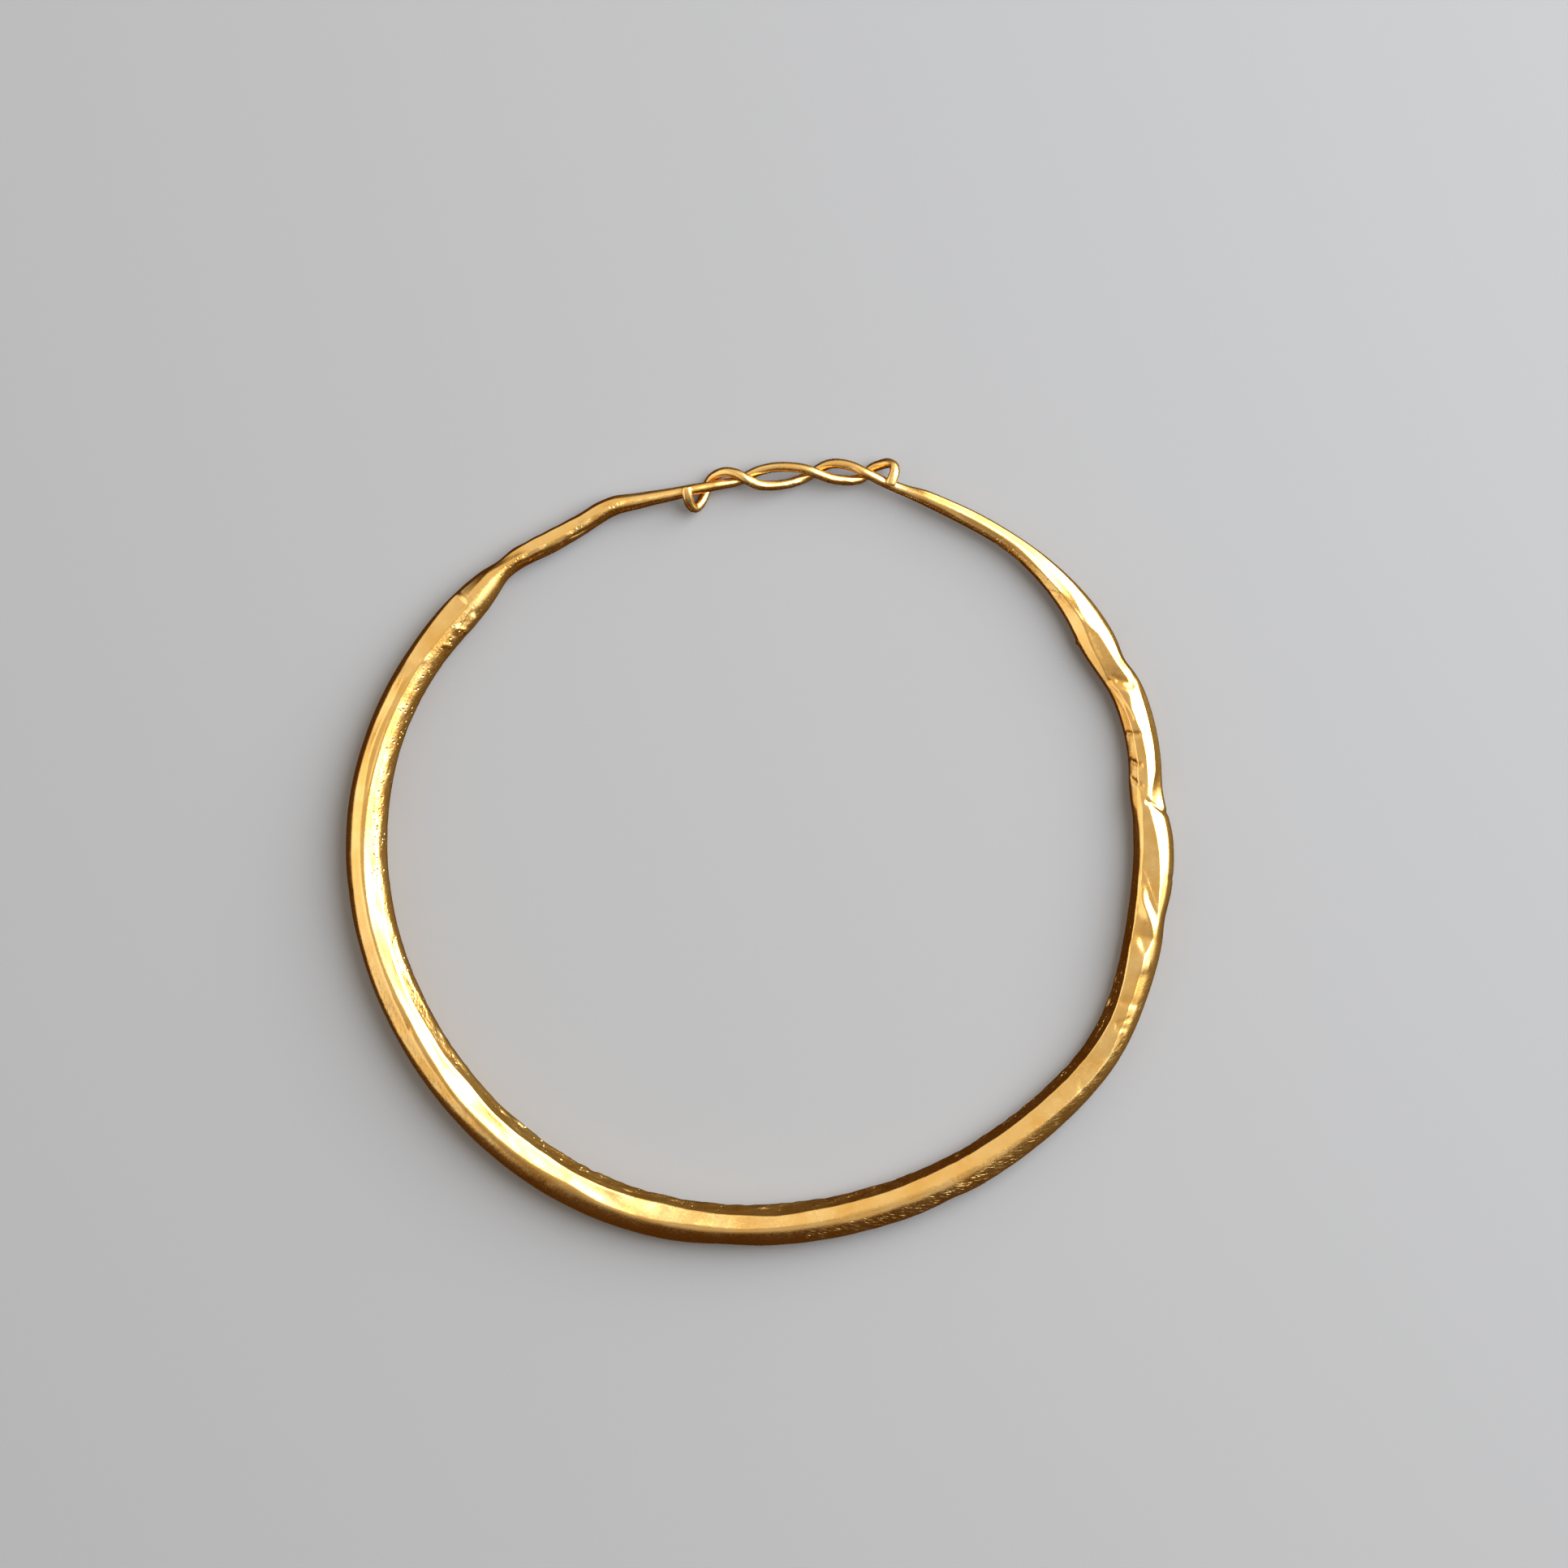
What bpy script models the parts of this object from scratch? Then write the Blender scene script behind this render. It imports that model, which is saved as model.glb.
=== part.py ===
"""Ancient gold bracelet: a hollow hoop of sheet gold that tapers into two twisted wires.

Metres, +Z up. The bracelet lies on z = 0 as it would on a table, and its origin is on
the table under the middle of its outline. Angles go anticlockwise from +X seen from
above, and the twist lies at the +Y side. One path runs from the tip of the right-hand
wire, through the twist, clockwise round the hoop and through the twist again to the tip
of the left-hand wire. One section is carried along it, so the piece is a single solid.
"""

import math

import bpy
import numpy as np

MM = 0.001

# Driving sizes
HOOP_RADIUS = 34.43 * MM        # middle of the hoop to the middle of its tube, on average
TUBE_DIAMETER = 3.9 * MM        # tube where it is thickest, at the lower left
WIRE_DIAMETER = 0.88 * MM       # wires that the two ends run out into
WIRE_GAP = 0.06 * MM            # clear space where one wire crosses the other
TONGUE_LENGTH = 3.0 * MM        # the wire tips are hammered out to short flat tongues
TONGUE_WIDTH = 0.95 * MM
TONGUE_THICKNESS = 0.5 * MM

# The hoop was bent by hand and has been squeezed since, so its middle line is a circle
# with slow waves and a few local bends
WAVES = (                       # times round, height, angle of the first crest
    (2, 0.97 * MM, 26.0),
    (3, 0.27 * MM, 148.0),
    (4, 0.21 * MM, -123.0),
    (5, 0.10 * MM, 152.0),
)
BENDS = (                       # angle, height (outwards is positive), spread in degrees
    (75.0, 0.66 * MM, 8.0),
    (48.0, 0.15 * MM, 10.0),
    (31.0, -0.28 * MM, 5.0),
    (22.0, 0.13 * MM, 5.0),
    (8.0, -0.50 * MM, 5.0),
    (-29.0, 0.59 * MM, 12.0),
    (132.0, 0.46 * MM, 5.0),
    (114.0, 0.44 * MM, 4.0),
    (105.0, -0.13 * MM, 8.0),
)

# Tube sizes from the end of the right-hand wire's route (0) clockwise to the start of the
# left-hand wire's (100), as shares of the way from wire to full tube. Width is across the
# hoop and height is up.
TUBE_PROFILE = (                # percent of the way round, width, height
    (-3.0, 0.00, 0.00),
    (-1.0, 0.05, 0.05),
    (-0.1, 0.15, 0.15),
    (0.8, 0.19, 0.19),
    (2.0, 0.23, 0.22),
    (4.6, 0.27, 0.27),
    (6.0, 0.37, 0.33),
    (7.4, 0.50, 0.38),
    (9.0, 0.67, 0.43),
    (10.3, 0.79, 0.47),
    (11.5, 0.76, 0.50),
    (13.0, 0.69, 0.53),
    (16.8, 0.68, 0.58),
    (18.7, 0.76, 0.64),
    (20.2, 0.89, 0.72),
    (22.5, 0.92, 0.80),
    (25.3, 0.85, 0.83),
    (28.2, 0.77, 0.82),
    (31.5, 0.82, 0.84),
    (36.0, 0.88, 0.89),
    (42.0, 0.92, 0.93),
    (50.0, 0.92, 0.95),
    (55.0, 0.98, 0.98),
    (61.0, 1.00, 1.00),
    (67.0, 0.99, 1.00),
    (72.0, 0.96, 0.98),
    (78.5, 0.92, 0.94),
    (83.0, 0.81, 0.86),
    (86.5, 0.78, 0.78),
    (89.0, 0.81, 0.71),
    (90.2, 0.74, 0.65),
    (91.0, 0.59, 0.58),
    (91.9, 0.39, 0.48),
    (93.0, 0.35, 0.40),
    (94.6, 0.38, 0.37),
    (96.5, 0.32, 0.33),
    (98.0, 0.28, 0.28),
    (99.1, 0.20, 0.20),
    (100.2, 0.13, 0.13),
    (101.3, 0.08, 0.08),
    (103.0, 0.00, 0.00),
)

# Flats where the hollow tube has been crushed. Directions are 0 outwards, 90 up and 180
# inwards, at the flat's start and at its end, and the depth is a share of the tube's half
# size in that direction.
FLATS = (                       # start and end in percent, direction at each, depth
    (7.6, 11.0, 128.0, 118.0, 0.20),
    (9.6, 13.0, 112.0, 66.0, 0.32),
    (13.0, 18.2, 62.0, 58.0, 0.24),
    (13.6, 19.2, 148.0, 142.0, 0.22),
    (18.0, 23.4, 100.0, 78.0, 0.30),
    (21.8, 24.3, 122.0, 66.0, 0.26),
    (24.2, 25.9, 104.0, 60.0, 0.22),
    (25.6, 30.5, 132.0, 122.0, 0.16),
    (85.6, 91.0, 52.0, 58.0, 0.30),
    (90.2, 92.4, 26.0, 34.0, 0.20),
)
FLAT_FADE = 0.45                # percent of the way round over which a flat fades in

# Notches, pushed in from one side
NOTCHES = (                     # percent, direction, depth, half length, spread in degrees
    (11.9, 4.0, 0.30 * MM, 1.3 * MM, 42.0),
    (23.7, 2.0, 0.26 * MM, 1.8 * MM, 38.0),
    (18.6, 182.0, 0.14 * MM, 1.6 * MM, 36.0),
    (50.8, -12.0, 0.20 * MM, 2.0 * MM, 44.0),
    (40.0, -8.0, 0.14 * MM, 1.6 * MM, 40.0),
)

# Routes of the two free wires, in wire pitches: along from the middle of the twist
# towards +X, outwards from the middle line, and up
TWIST_MIDDLE = 86.5             # angle of the middle of the twist
RIGHT_WIRE = (                  # from its tip, hooked round the left-hand end
    (-9.91, 0.15, 0.86),
    (-9.99, -0.38, 0.85),
    (-10.03, -0.93, 0.64),
    (-9.95, -1.53, 0.22),
    (-9.57, -1.94, -0.22),
    (-9.04, -1.73, -0.60),
    (-8.56, -1.25, -0.88),
    (-8.21, -0.69, -1.02),
    (-7.85, -0.05, -1.02),
    (-7.22, 0.60, -0.64),
    (-6.07, 0.86, 0.00),
    (-4.98, 0.56, 0.38),
    (-4.08, -0.05, 0.52),
    (-2.89, -0.72, 0.36),
    (-1.67, -0.90, 0.10),
    (0.03, -0.81, -0.16),
    (1.21, -0.52, -0.38),
    (1.96, -0.18, -0.50),
    (2.60, 0.24, -0.52),
    (3.57, 0.80, -0.34),
    (4.60, 0.95, -0.04),
    (6.07, 0.72, 0.30),
    (7.36, 0.26, 0.52),
    (8.64, -0.02, 0.36),
    (9.90, -0.16, 0.12),
    (11.30, -0.14, 0.00),
    (13.40, 0.00, 0.00),
)
LEFT_WIRE = (                   # from the hoop's left-hand end to its tip
    (-13.60, 0.00, 0.00),
    (-11.24, -0.14, 0.00),
    (-8.91, -0.22, 0.00),
    (-7.02, -0.25, -0.08),
    (-5.54, -0.22, -0.32),
    (-4.31, 0.02, -0.52),
    (-3.47, 0.36, -0.42),
    (-2.47, 0.68, -0.20),
    (-0.87, 0.83, 0.10),
    (0.71, 0.69, 0.38),
    (2.11, 0.32, 0.52),
    (3.16, -0.12, 0.44),
    (4.42, -0.53, 0.20),
    (5.98, -0.65, -0.12),
    (7.05, -0.30, -0.48),
    (7.48, 0.22, -0.58),
    (7.79, 0.78, -0.56),
    (8.45, 1.33, -0.36),
    (9.12, 1.72, 0.05),
    (9.69, 1.66, 0.52),
    (9.95, 1.13, 0.84),
    (9.96, 0.40, 0.96),
    (9.97, -0.25, 0.93),
)

# How the tube rests: its underside is beaten to a narrow flat where it touches the table
REST_SHARE = 0.90               # height of the tube's middle, as a share of its half height
REST_BLEND = 0.2 * MM           # rounding where the tube lifts off towards the wires

# Mesh
SIDES = 18                      # faces round the tube
RINGS = 268                     # sections along the path
PATH_POINTS = 12000             # points on the smooth path before sections are spaced out
TIP_ROUNDING = 0.8              # last section, as a share of the one before it
SIDE_BIAS = 0.40                # outward lean of a wire's side direction, in wire diameters


def smooth_through(at, places, values):
    """Values on a smooth curve through chosen points: a cubic between each two points,
    whose slope at a point is the slope from the point before it to the one after."""
    places = np.asarray(places, float)
    values = np.asarray(values, float)
    slopes = np.empty_like(values)
    slopes[1:-1] = (values[2:] - values[:-2]) / (places[2:] - places[:-2])
    slopes[0] = (values[1] - values[0]) / (places[1] - places[0])
    slopes[-1] = (values[-1] - values[-2]) / (places[-1] - places[-2])
    left = np.clip(np.searchsorted(places, at, side="right") - 1, 0, len(places) - 2)
    span = places[left + 1] - places[left]
    t = np.clip((at - places[left]) / span, 0.0, 1.0)
    return (
        values[left] * (2 * t**3 - 3 * t**2 + 1)
        + values[left + 1] * (3 * t**2 - 2 * t**3)
        + slopes[left] * span * (t**3 - 2 * t**2 + t)
        + slopes[left + 1] * span * (t**3 - t**2)
    )


def hoop_distance(angle):
    """Distance from the hoop's middle to the tube's middle line, at angles in degrees."""
    distance = np.full_like(angle, HOOP_RADIUS)
    for times, height, crest in WAVES:
        distance += height * np.cos(np.radians(times * angle - crest))
    for place, height, spread in BENDS:
        off = (angle - place + 180.0) % 360.0 - 180.0
        distance += height * np.exp(-((off / spread) ** 2))
    return distance


def wire_route(rows, count):
    """Angle, outward and upward offset along one free wire, evenly spaced by its length."""
    pitch = WIRE_DIAMETER + WIRE_GAP
    points = np.array(rows) * pitch
    steps = np.linalg.norm(np.diff(points, axis=0), axis=1)
    places = np.concatenate([[0.0], np.cumsum(steps)])
    at = np.linspace(0.0, places[-1], count)
    along, out, up = (smooth_through(at, places, column) for column in points.T)
    angle = TWIST_MIDDLE - np.degrees(along / HOOP_RADIUS)
    return angle, out, up


def bracelet_path():
    """The whole path, tip to tip: the place and side direction of each point, and how far
    round the hoop it is in percent (below 0 and above 100 on the wires)."""
    right = wire_route(RIGHT_WIRE, PATH_POINTS // 6)
    left = wire_route(LEFT_WIRE, PATH_POINTS // 6)
    hoop_start = right[0][-1]
    hoop_end = left[0][0] - 360.0
    hoop_angle = np.linspace(hoop_start, hoop_end, PATH_POINTS * 2 // 3)[1:-1]
    level = np.zeros_like(hoop_angle)
    angle = np.concatenate([right[0], hoop_angle, left[0] - 360.0])
    out = np.concatenate([right[1], level, left[1]])
    up = np.concatenate([right[2], level, left[2]])
    percent = 100.0 * (hoop_start - angle) / (hoop_start - hoop_end)

    turn = np.radians(angle)
    outwards = np.stack([np.cos(turn), np.sin(turn), np.zeros_like(turn)], axis=1)
    upwards = np.array([0.0, 0.0, 1.0])
    place = outwards * (hoop_distance(angle) + out)[:, None]
    place[:, 2] = middle_height(percent) + up
    # A wire's side direction turns with it round its partner, and is outwards on the hoop
    lean = SIDE_BIAS * WIRE_DIAMETER
    side = outwards * (out + lean)[:, None] + upwards * up[:, None]
    return place, side, percent


def tube_size(percent):
    """Half width and half height of the tube at places round the hoop."""
    rows = np.array(TUBE_PROFILE)
    share = np.stack([smooth_through(percent, rows[:, 0], column) for column in rows[:, 1:].T])
    size = WIRE_DIAMETER + (TUBE_DIAMETER - WIRE_DIAMETER) * np.maximum(share, 0.0)
    return size / 2


def middle_height(percent):
    """Height of the middle line: low enough that the thick tube rests on its beaten
    underside, and high enough that the hooked wires clear the table."""
    pitch = WIRE_DIAMETER + WIRE_GAP
    lowest = min(row[2] for row in RIGHT_WIRE + LEFT_WIRE)
    wire_height = WIRE_DIAMETER / 2 - lowest * pitch
    tube_height = REST_SHARE * tube_size(percent)[1]
    lift = tube_height - wire_height
    return wire_height + (lift + np.sqrt(lift**2 + REST_BLEND**2)) / 2


def spaced_sections(place, side, percent):
    """Sections along the path, spaced in proportion to the tube's local size."""
    steps = np.linalg.norm(np.diff(place, axis=0), axis=1)
    length = np.concatenate([[0.0], np.cumsum(steps)])
    half_wide, half_high = tube_size(percent)
    count = np.concatenate([[0.0], np.cumsum(steps / (half_wide + half_high)[:-1])])
    at = np.interp(np.linspace(0.0, count[-1], RINGS), count, length)

    def pick(values):
        return np.stack([np.interp(at, length, column) for column in values.T], axis=1)

    tangent = pick(np.gradient(place, length, axis=0))
    tangent /= np.linalg.norm(tangent, axis=1)[:, None]
    side = pick(side)
    side -= tangent * np.sum(side * tangent, axis=1)[:, None]
    side /= np.linalg.norm(side, axis=1)[:, None]
    top = np.cross(tangent, side)
    return pick(place), side, top, np.interp(at, length, percent), at, length[-1]


def flattened(across, up, half_wide, half_high, percent):
    """Push section points in to each flat that crosses them."""
    for start, end, first, last, depth in FLATS:
        fade_in = np.clip((percent - start) / FLAT_FADE, 0.0, 1.0)
        fade_out = np.clip((end - percent) / FLAT_FADE, 0.0, 1.0)
        share = (fade_in * fade_out)[:, None]
        direction = np.radians(np.interp(percent, (start, end), (first, last)))[:, None]
        cosine = np.cos(direction)
        sine = np.sin(direction)
        reach = np.hypot(half_wide * cosine, half_high * sine)
        limit = reach * (1.0 - depth * share)
        height = across * cosine + up * sine
        pull = np.where(height > limit, limit / np.maximum(height, limit), 1.0)
        across = across * pull
        up = up * pull
    return across, up


def notched(across, up, percent, at):
    """Push section points towards the middle line inside each notch."""
    toward = np.degrees(np.arctan2(up, across))
    radius = np.hypot(across, up)
    scale = np.ones_like(radius)
    for place, direction, depth, half_length, spread in NOTCHES:
        middle = np.interp(place, percent, at)
        off_along = (at - middle)[:, None] / half_length
        off_round = ((toward - direction + 180.0) % 360.0 - 180.0) / spread
        scale -= depth * np.exp(-(off_along**2) - off_round**2) / radius
    return across * scale, up * scale


def tube_sections():
    """Corner points of every section, as an array of sections by sides by x, y, z."""
    place, side, top, percent, at, total = spaced_sections(*bracelet_path())
    half_wide, half_high = (size[:, None] for size in tube_size(percent))
    to_tip = np.clip(1.0 - np.minimum(at, total - at) / TONGUE_LENGTH, 0.0, 1.0)[:, None]
    ease = to_tip**2 * (3.0 - 2.0 * to_tip)
    half_wide = half_wide + ease * (TONGUE_THICKNESS / 2 - half_wide)
    half_high = half_high + ease * (TONGUE_WIDTH / 2 - half_high)

    turn = np.linspace(0.0, 2 * math.pi, SIDES, endpoint=False)[None, :]
    across, up = flattened(
        half_wide * np.cos(turn), half_high * np.sin(turn), half_wide, half_high, percent
    )
    across, up = notched(across, up, percent, at)
    end_scale = np.ones((RINGS, 1))
    end_scale[[0, -1]] = TIP_ROUNDING
    across = (across * end_scale)[:, :, None]
    up = (up * end_scale)[:, :, None]
    points = place[:, None, :] + across * side[:, None, :] + up * top[:, None, :]
    points[:, :, 2] = np.maximum(points[:, :, 2], 0.0)
    return points


def tube_faces(rings, sides):
    """Quads between neighbouring sections, and one face on each end."""
    ring = np.arange(rings - 1)[:, None] * sides
    here = np.arange(sides)[None, :]
    after = (here + 1) % sides
    quads = np.stack(
        [ring + here, ring + after, ring + sides + after, ring + sides + here], axis=-1
    )
    faces = quads.reshape(-1, 4).tolist()
    faces.append(list(range(sides))[::-1])
    last = (rings - 1) * sides
    faces.append(list(range(last, last + sides)))
    return faces


def gold_material():
    """Old high-carat gold, worn to a soft shine."""
    material = bpy.data.materials.new("old gold")
    material.use_nodes = True
    shader = material.node_tree.nodes["Principled BSDF"]
    shader.inputs["Base Color"].default_value = (0.91, 0.60, 0.20, 1.0)
    shader.inputs["Metallic"].default_value = 1.0
    shader.inputs["Roughness"].default_value = 0.28
    return material


def make_bracelet():
    """The bracelet as one closed mesh, with its outline centred over the origin."""
    points = tube_sections()
    lowest = points.min(axis=(0, 1))
    highest = points.max(axis=(0, 1))
    points -= np.array([(lowest[0] + highest[0]) / 2, (lowest[1] + highest[1]) / 2, 0.0])
    mesh = bpy.data.meshes.new("bracelet_hoop")
    mesh.from_pydata(points.reshape(-1, 3).tolist(), [], tube_faces(RINGS, SIDES))
    mesh.validate()
    mesh.shade_smooth()
    mesh.set_sharp_from_angle(angle=math.radians(50.0))
    mesh.materials.append(gold_material())
    bracelet = bpy.data.objects.new("bracelet_hoop", mesh)
    bpy.context.scene.collection.objects.link(bracelet)
    return bracelet


for old in list(bpy.data.objects):
    bpy.data.objects.remove(old, do_unlink=True)

make_bracelet()
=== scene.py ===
# %% [markdown]
# # A worn gold bracelet of twisted wire
#
# The real object is one piece of high-carat gold. Its lower half is a hollow hoop of
# sheet, about 4 mm thick, and both ends were drawn out into wires,
# wound round each other and hooked shut. Handling and burial have hammered, creased and
# crushed it. The bracelet is one closed skin here as well: a section carried along one
# path, from the tip of one wire to the tip of the other, then cut by flats and creases.
#
# The first step loads the measured model. Its place and size are fixed, so its box is
# kept as a yardstick for everything made below.

# %% Load the measured model
import math

import bpy
import numpy as np
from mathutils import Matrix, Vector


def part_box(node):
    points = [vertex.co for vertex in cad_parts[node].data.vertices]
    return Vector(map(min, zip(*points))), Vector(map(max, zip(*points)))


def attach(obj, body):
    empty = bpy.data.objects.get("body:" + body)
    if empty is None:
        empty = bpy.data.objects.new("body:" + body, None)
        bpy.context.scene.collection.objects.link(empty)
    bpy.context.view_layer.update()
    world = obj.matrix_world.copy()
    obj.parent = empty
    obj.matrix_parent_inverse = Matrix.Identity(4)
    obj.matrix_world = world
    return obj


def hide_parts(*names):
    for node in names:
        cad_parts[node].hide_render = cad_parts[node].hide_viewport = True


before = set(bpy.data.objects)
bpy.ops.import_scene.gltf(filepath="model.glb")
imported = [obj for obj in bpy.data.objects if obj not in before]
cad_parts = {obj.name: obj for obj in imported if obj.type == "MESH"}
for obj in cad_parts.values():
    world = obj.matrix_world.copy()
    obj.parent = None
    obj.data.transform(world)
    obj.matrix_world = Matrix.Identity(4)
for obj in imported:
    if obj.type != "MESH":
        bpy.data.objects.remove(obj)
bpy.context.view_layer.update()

MM = 0.001
cad_low, cad_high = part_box("bracelet_hoop")
print("measured model, mm:", [round((b - a) / MM, 2) for a, b in zip(cad_low, cad_high)])

# %% [markdown]
# ## The camera and the room
#
# The object was photographed from straight above, so the camera looks straight down. A
# long lens keeps the near and far sides of the tube at one scale. The distance follows
# from the lens: the picture's width on the floor, times the focal length, over the width
# of the sensor. Polished metal shows nothing but its surroundings, so the lights are
# drawn here as large soft panels, and each is placed by two angles round the bracelet.

# %% Camera straight above the bracelet
VIEW_WIDTH = 140.07 * MM        # width of the floor that the picture shows
VIEW_MIDDLE = (2.14 * MM, 6.05 * MM)
LENS = 120.0
SENSOR = 36.0

camera_data = bpy.data.cameras.new("camera")
camera_data.lens = LENS
camera_data.sensor_width = SENSOR
camera_data.clip_start = 0.01
camera = bpy.data.objects.new("camera", camera_data)
bpy.context.scene.collection.objects.link(camera)
camera.location = (*VIEW_MIDDLE, VIEW_WIDTH * LENS / SENSOR + cad_high.z / 2)
bpy.context.scene.camera = camera
print("camera height, mm:", round(camera.location.z / MM, 1))


# %% Colours, as written on a colour chart
def linear(code):
    """A hex colour as linear light: each channel is divided by 12.92 where it is under
    0.04045, and is otherwise ((channel + 0.055) / 1.055) to the power 2.4."""
    channels = [int(code[i:i + 2], 16) / 255 for i in (0, 2, 4)]
    return tuple(c / 12.92 if c <= 0.04045 else ((c + 0.055) / 1.055) ** 2.4 for c in channels)


# %% [markdown]
# ## The hoop's middle line
#
# A hoop that was bent by hand is never a circle. Its middle line could be drawn as a
# freehand curve, but then no number says what it is. Here it is a circle with a few slow
# waves, as a squeezed ring has, and short local bends, each a small bell curve.

# %% Sizes and the middle line
HOOP_RADIUS = 34.43 * MM        # middle of the hoop to the middle of its tube, on average
TUBE_DIAMETER = 3.9 * MM        # tube where it is thickest
WIRE_DIAMETER = 0.88 * MM
WIRE_PITCH = WIRE_DIAMETER + 0.06 * MM
TWIST_MIDDLE = 86.5             # angle of the middle of the twist, in degrees

WAVES = (                       # times round, height, angle of the first crest
    (2, 0.97 * MM, 26.0),
    (3, 0.27 * MM, 148.0),
    (4, 0.21 * MM, -123.0),
    (5, 0.10 * MM, 152.0),
)
BENDS = (                       # angle, height (outwards is positive), spread in degrees
    (75.0, 0.66 * MM, 8.0),
    (48.0, 0.15 * MM, 10.0),
    (31.0, -0.28 * MM, 5.0),
    (22.0, 0.13 * MM, 5.0),
    (8.0, -0.50 * MM, 5.0),
    (-29.0, 0.59 * MM, 12.0),
    (132.0, 0.46 * MM, 5.0),
    (114.0, 0.44 * MM, 4.0),
    (105.0, -0.13 * MM, 8.0),
)


def hoop_distance(angle):
    """Distance from the hoop's middle to the tube's middle line: the radius, plus each
    wave's height times the cosine of its phase, plus each bend's height times e to the
    minus square of (angle from the bend / its spread)."""
    distance = np.full_like(angle, HOOP_RADIUS)
    for times, height, crest in WAVES:
        distance += height * np.cos(np.radians(times * angle - crest))
    for place, height, spread in BENDS:
        off = (angle - place + 180.0) % 360.0 - 180.0
        distance += height * np.exp(-((off / spread) ** 2))
    return distance


circle = hoop_distance(np.linspace(0.0, 360.0, 361))
print("hoop radius from", round(circle.min() / MM, 2), "to", round(circle.max() / MM, 2), "mm")

# %% [markdown]
# ## The wound wires
#
# Each wire leaves its end of the hoop, winds once round its partner, and is then bent
# round the other wire's root as a hook, with its tip beaten out to a flat tongue. A pure
# helix would be too regular, so each route is a short list of given points: how far
# along, how far outwards and how far up, in wire pitches. A smooth curve runs through
# them, so that neighbouring points decide the slope at each one.

# %% Routes of the two wires
RIGHT_WIRE = (                  # from its tip, hooked round the left-hand end
    (-9.91, 0.15, 0.86),
    (-9.99, -0.38, 0.85),
    (-10.03, -0.93, 0.64),
    (-9.95, -1.53, 0.22),
    (-9.57, -1.94, -0.22),
    (-9.04, -1.73, -0.60),
    (-8.56, -1.25, -0.88),
    (-8.21, -0.69, -1.02),
    (-7.85, -0.05, -1.02),
    (-7.22, 0.60, -0.64),
    (-6.07, 0.86, 0.00),
    (-4.98, 0.56, 0.38),
    (-4.08, -0.05, 0.52),
    (-2.89, -0.72, 0.36),
    (-1.67, -0.90, 0.10),
    (0.03, -0.81, -0.16),
    (1.21, -0.52, -0.38),
    (1.96, -0.18, -0.50),
    (2.60, 0.24, -0.52),
    (3.57, 0.80, -0.34),
    (4.60, 0.95, -0.04),
    (6.07, 0.72, 0.30),
    (7.36, 0.26, 0.52),
    (8.64, -0.02, 0.36),
    (9.90, -0.16, 0.12),
    (11.30, -0.14, 0.00),
    (13.40, 0.00, 0.00),
)
LEFT_WIRE = (                   # from the hoop's left-hand end to its tip
    (-13.60, 0.00, 0.00),
    (-11.24, -0.14, 0.00),
    (-8.91, -0.22, 0.00),
    (-7.02, -0.25, -0.08),
    (-5.54, -0.22, -0.32),
    (-4.31, 0.02, -0.52),
    (-3.47, 0.36, -0.42),
    (-2.47, 0.68, -0.20),
    (-0.87, 0.83, 0.10),
    (0.71, 0.69, 0.38),
    (2.11, 0.32, 0.52),
    (3.16, -0.12, 0.44),
    (4.42, -0.53, 0.20),
    (5.98, -0.65, -0.12),
    (7.05, -0.30, -0.48),
    (7.48, 0.22, -0.58),
    (7.79, 0.78, -0.56),
    (8.45, 1.33, -0.36),
    (9.12, 1.72, 0.05),
    (9.69, 1.66, 0.52),
    (9.95, 1.13, 0.84),
    (9.96, 0.40, 0.96),
    (9.97, -0.25, 0.93),
)


def smooth_through(at, places, values):
    """Values on a smooth curve through chosen points: a cubic between each two points,
    whose slope at a point is the slope from the point before it to the one after."""
    places = np.asarray(places, float)
    values = np.asarray(values, float)
    slopes = np.empty_like(values)
    slopes[1:-1] = (values[2:] - values[:-2]) / (places[2:] - places[:-2])
    slopes[0] = (values[1] - values[0]) / (places[1] - places[0])
    slopes[-1] = (values[-1] - values[-2]) / (places[-1] - places[-2])
    left = np.clip(np.searchsorted(places, at, side="right") - 1, 0, len(places) - 2)
    span = places[left + 1] - places[left]
    t = np.clip((at - places[left]) / span, 0.0, 1.0)
    return (
        values[left] * (2 * t**3 - 3 * t**2 + 1)
        + values[left + 1] * (3 * t**2 - 2 * t**3)
        + slopes[left] * span * (t**3 - 2 * t**2 + t)
        + slopes[left + 1] * span * (t**3 - t**2)
    )


def wire_route(rows, count):
    """Angle, outward and upward offset along one free wire, evenly spaced by its length."""
    points = np.array(rows) * WIRE_PITCH
    steps = np.linalg.norm(np.diff(points, axis=0), axis=1)
    places = np.concatenate([[0.0], np.cumsum(steps)])
    at = np.linspace(0.0, places[-1], count)
    along, out, up = (smooth_through(at, places, column) for column in points.T)
    angle = TWIST_MIDDLE - np.degrees(along / HOOP_RADIUS)
    return angle, out, up, places[-1]


for name, rows in (("right", RIGHT_WIRE), ("left", LEFT_WIRE)):
    print(name, "wire, mm:", round(wire_route(rows, 100)[3] / MM, 1))

# %% [markdown]
# ## How thick the tube is, and one path for all of it
#
# The tube swells from wire to hoop and back, and not evenly: it is squashed in some
# places and pinched in others. Its width and height are read from a short table along the
# way. The way itself is counted in percent round the hoop, clockwise from the right-hand
# wire, so every dent and fold below can say where it is. The hoop lies on its thickest
# part, so its middle line is as high as that part's half height, less a little flat.

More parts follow.
